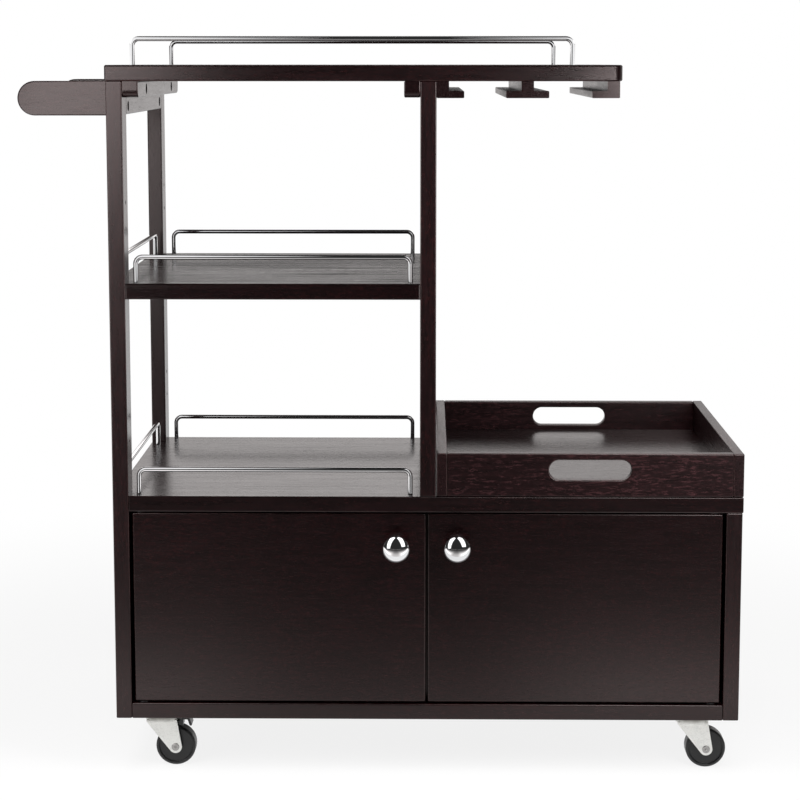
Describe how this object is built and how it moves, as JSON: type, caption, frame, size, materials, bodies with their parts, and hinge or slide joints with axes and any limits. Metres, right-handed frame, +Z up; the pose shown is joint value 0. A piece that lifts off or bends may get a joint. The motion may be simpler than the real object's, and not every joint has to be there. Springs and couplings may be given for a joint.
{
  "type": "bar cart",
  "caption": "Wooden serving cart on swivel casters with an open shelf tower, wire guard rails, hanging glass racks, a lift-off tray and a two-door cabinet.",
  "frame": {"origin": "on the floor under the middle of the whole cart's box, with its handle and knobs", "axes": "+X to the right as the doors are faced, +Y to the back, +Z up"},
  "size_m": [0.8884, 0.431, 0.9117],
  "materials": {
    "espresso_wood": "espresso stain under satin lacquer",
    "chrome": "polished",
    "zinc_steel": "bright zinc plate",
    "black_plastic": "satin moulded",
    "beech": "bare"
  },
  "bodies": {
    "cart": {"top_board": "espresso_wood", "left_front_post": "espresso_wood", "left_rear_post": "espresso_wood", "left_cross_rail": "espresso_wood", "left_top_cleat": "espresso_wood", "center_front_post": "espresso_wood", "center_rear_post": "espresso_wood", "center_cross_rail": "espresso_wood", "center_top_cleat": "espresso_wood", "handle_arm_front": "espresso_wood", "handle_arm_rear": "espresso_wood", "handle_grip": "espresso_wood", "middle_shelf": "espresso_wood", "cabinet_top": "espresso_wood", "left_side_panel": "espresso_wood", "right_side_panel": "espresso_wood", "cabinet_bottom": "espresso_wood", "center_partition": "espresso_wood", "back_panel": "espresso_wood", "glass_rack_left": "espresso_wood", "glass_rack_center": "espresso_wood", "glass_rack_right": "espresso_wood", "top_rails": "chrome", "middle_shelf_rails": "chrome", "lower_shelf_rails": "chrome", "frame_bolts": "zinc_steel", "top_screws": "zinc_steel", "caster_plates": "zinc_steel", "caster_kingpins": "zinc_steel", "caster_screws": "zinc_steel", "magnetic_catches": "black_plastic", "hinge_bushes": "black_plastic", "dowel_pins": "beech"},
    "tray": {"tray_base": "espresso_wood", "tray_front_wall": "espresso_wood", "tray_rear_wall": "espresso_wood", "tray_left_wall": "espresso_wood", "tray_right_wall": "espresso_wood"},
    "door_left": {"left_door": "espresso_wood", "left_knob": "chrome", "left_hinge_pins": "zinc_steel", "left_strike_plate": "zinc_steel"},
    "door_right": {"right_door": "espresso_wood", "right_knob": "chrome", "right_hinge_pins": "zinc_steel", "right_strike_plate": "zinc_steel"},
    "fork_front_left": {"caster_fork_front_left": "zinc_steel", "caster_axle_front_left": "zinc_steel"},
    "wheel_front_left": {"caster_wheel_front_left": "black_plastic"},
    "fork_rear_left": {"caster_fork_rear_left": "zinc_steel", "caster_axle_rear_left": "zinc_steel"},
    "wheel_rear_left": {"caster_wheel_rear_left": "black_plastic"},
    "fork_front_right": {"caster_fork_front_right": "zinc_steel", "caster_axle_front_right": "zinc_steel"},
    "wheel_front_right": {"caster_wheel_front_right": "black_plastic"},
    "fork_rear_right": {"caster_fork_rear_right": "zinc_steel", "caster_axle_rear_right": "zinc_steel"},
    "wheel_rear_right": {"caster_wheel_rear_right": "black_plastic"},
    "brake_front_left": {"brake_lever_front_left": "black_plastic"},
    "brake_rear_left": {"brake_lever_rear_left": "black_plastic"}
  },
  "joints": [
    {"name": "left_door_swing", "type": "hinge", "parent": "cart", "child": "door_left", "pos_m": [-0.29625, -0.1735, 0.211], "axis": [0, 0, -1], "range_deg": [0, 105]},
    {"name": "right_door_swing", "type": "hinge", "parent": "cart", "child": "door_right", "pos_m": [0.40975, -0.1735, 0.211], "axis": [0, 0, 1], "range_deg": [0, 105]},
    {"name": "tray_lift", "type": "slide", "parent": "cart", "child": "tray", "axis": [0, 0, 1], "range_m": [0, 0.25]},
    {"name": "swivel_front_left", "type": "hinge", "parent": "cart", "child": "fork_front_left", "pos_m": [-0.27675, -0.1455, 0.062], "axis": [0, 0, 1], "continuous": true},
    {"name": "spin_front_left", "type": "hinge", "parent": "fork_front_left", "child": "wheel_front_left", "pos_m": [-0.25975, -0.1455, 0.025], "axis": [0, 1, 0], "continuous": true},
    {"name": "brake_press_front_left", "type": "hinge", "parent": "fork_front_left", "child": "brake_front_left", "pos_m": [-0.26275, -0.1455, 0.0542], "axis": [0, 1, 0], "range_deg": [0, 8]},
    {"name": "swivel_rear_left", "type": "hinge", "parent": "cart", "child": "fork_rear_left", "pos_m": [-0.27675, 0.1765, 0.062], "axis": [0, 0, 1], "continuous": true},
    {"name": "spin_rear_left", "type": "hinge", "parent": "fork_rear_left", "child": "wheel_rear_left", "pos_m": [-0.25975, 0.1765, 0.025], "axis": [0, 1, 0], "continuous": true},
    {"name": "brake_press_rear_left", "type": "hinge", "parent": "fork_rear_left", "child": "brake_rear_left", "pos_m": [-0.26275, 0.1765, 0.0542], "axis": [0, 1, 0], "range_deg": [0, 8]},
    {"name": "swivel_front_right", "type": "hinge", "parent": "cart", "child": "fork_front_right", "pos_m": [0.39025, -0.1455, 0.062], "axis": [0, 0, 1], "continuous": true},
    {"name": "spin_front_right", "type": "hinge", "parent": "fork_front_right", "child": "wheel_front_right", "pos_m": [0.40725, -0.1455, 0.025], "axis": [0, 1, 0], "continuous": true},
    {"name": "swivel_rear_right", "type": "hinge", "parent": "cart", "child": "fork_rear_right", "pos_m": [0.39025, 0.1765, 0.062], "axis": [0, 0, 1], "continuous": true},
    {"name": "spin_rear_right", "type": "hinge", "parent": "fork_rear_right", "child": "wheel_rear_right", "pos_m": [0.40725, 0.1765, 0.025], "axis": [0, 1, 0], "continuous": true}
  ]
}
